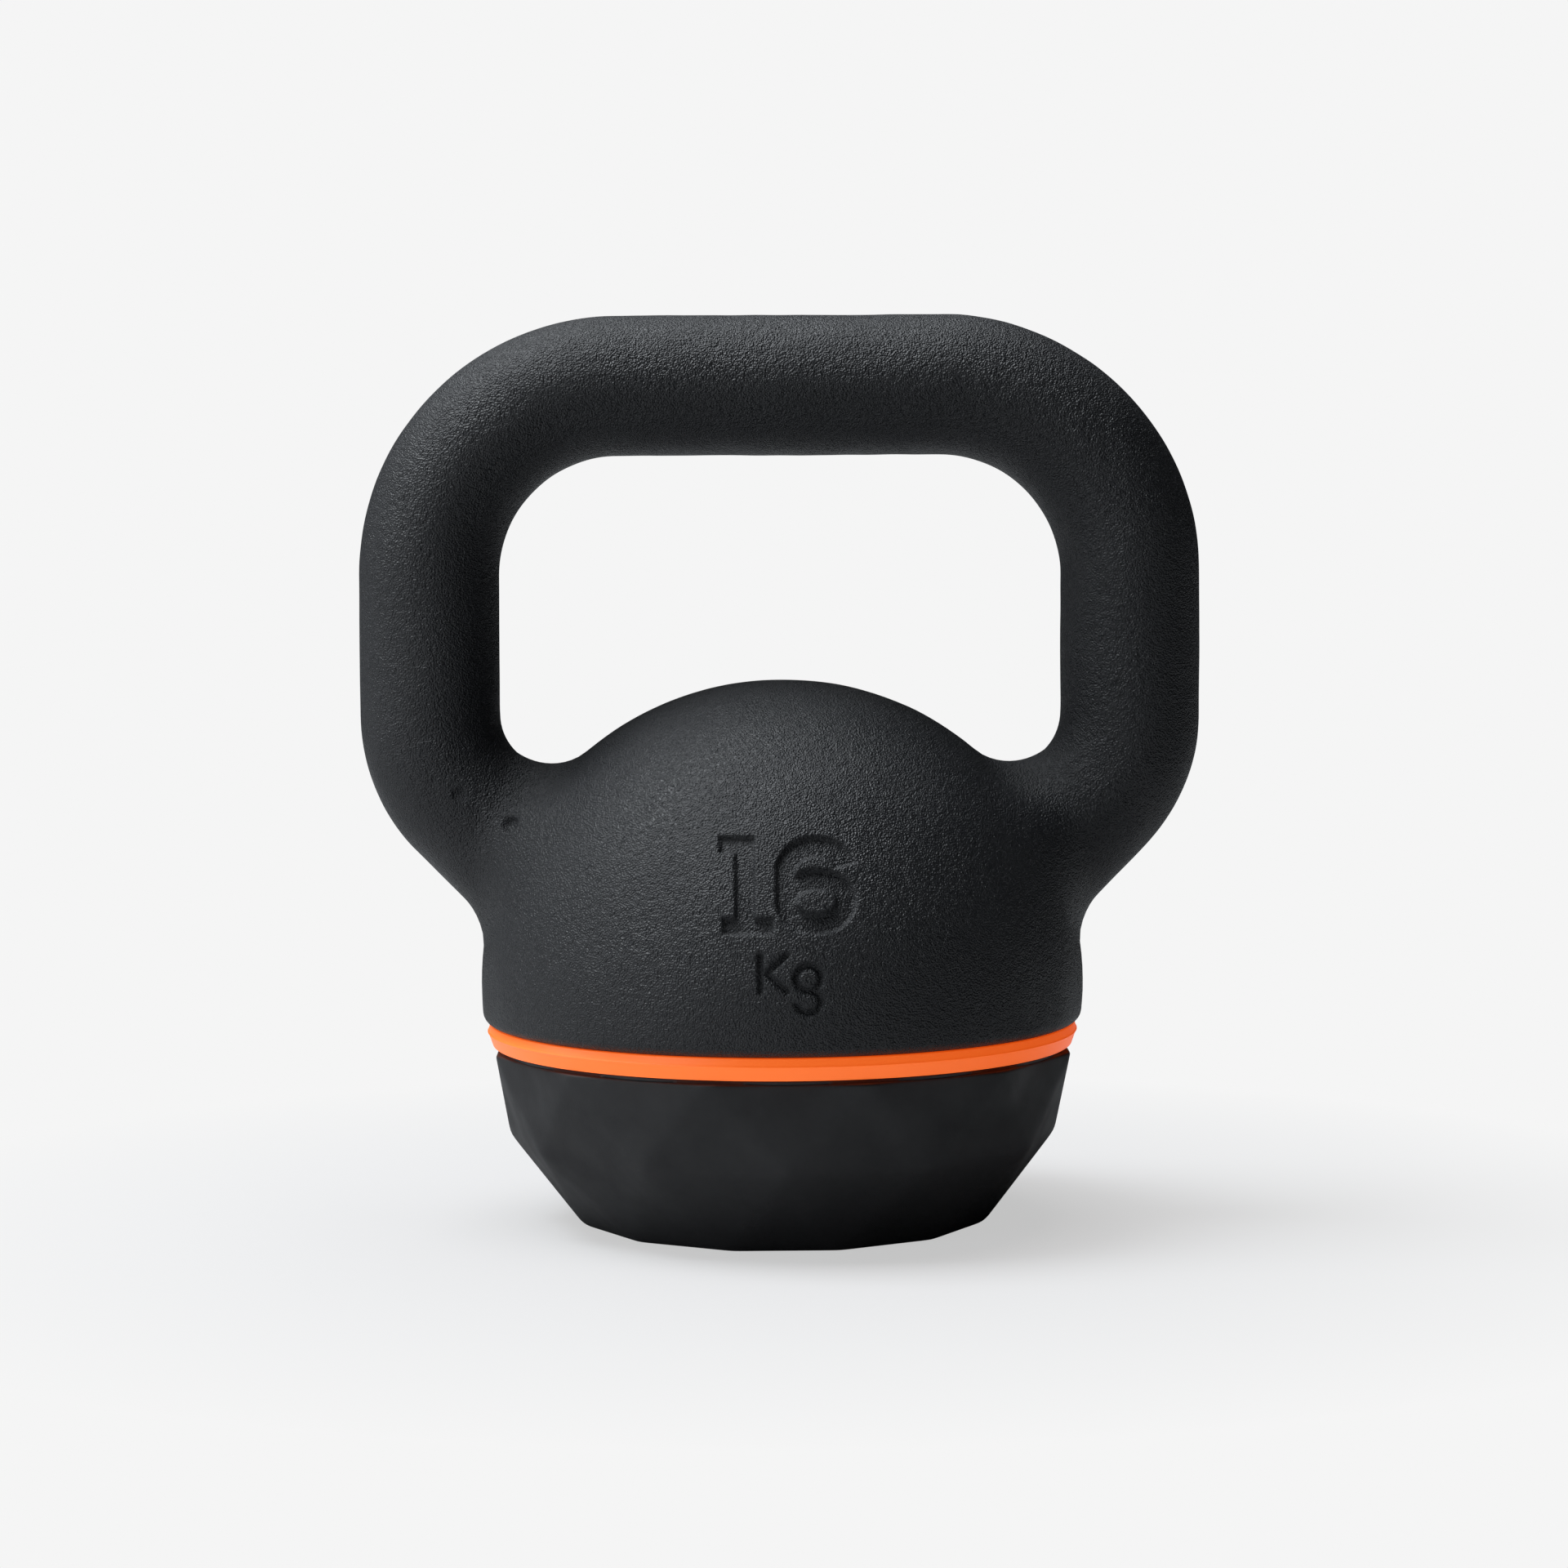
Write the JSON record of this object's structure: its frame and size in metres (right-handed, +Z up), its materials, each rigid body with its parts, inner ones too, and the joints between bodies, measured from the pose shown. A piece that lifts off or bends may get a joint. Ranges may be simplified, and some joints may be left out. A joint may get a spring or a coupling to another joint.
{
  "type": "kettlebell",
  "caption": "Ball-shaped cast-iron exercise weight with a flat-topped loop handle, a coloured ring at its joint and a faceted rubber base.",
  "frame": {"origin": "middle of the underside, on the plane that the kettlebell stands on", "axes": "+Z up, +X along the grip, -Y towards the face with the weight mark"},
  "size_m": [0.2222, 0.1598, 0.2397],
  "materials": {
    "bell": "satin",
    "ring": "satin",
    "base": "matte",
    "plate": "satin",
    "fastener": "satin"
  },
  "bodies": {
    "root": {"bell_casting": "bell", "accent_ring": "ring", "rubber_base": "base", "retaining_plate": "plate", "lock_washers": "fastener", "base_screws": "fastener"}
  },
  "joints": []
}
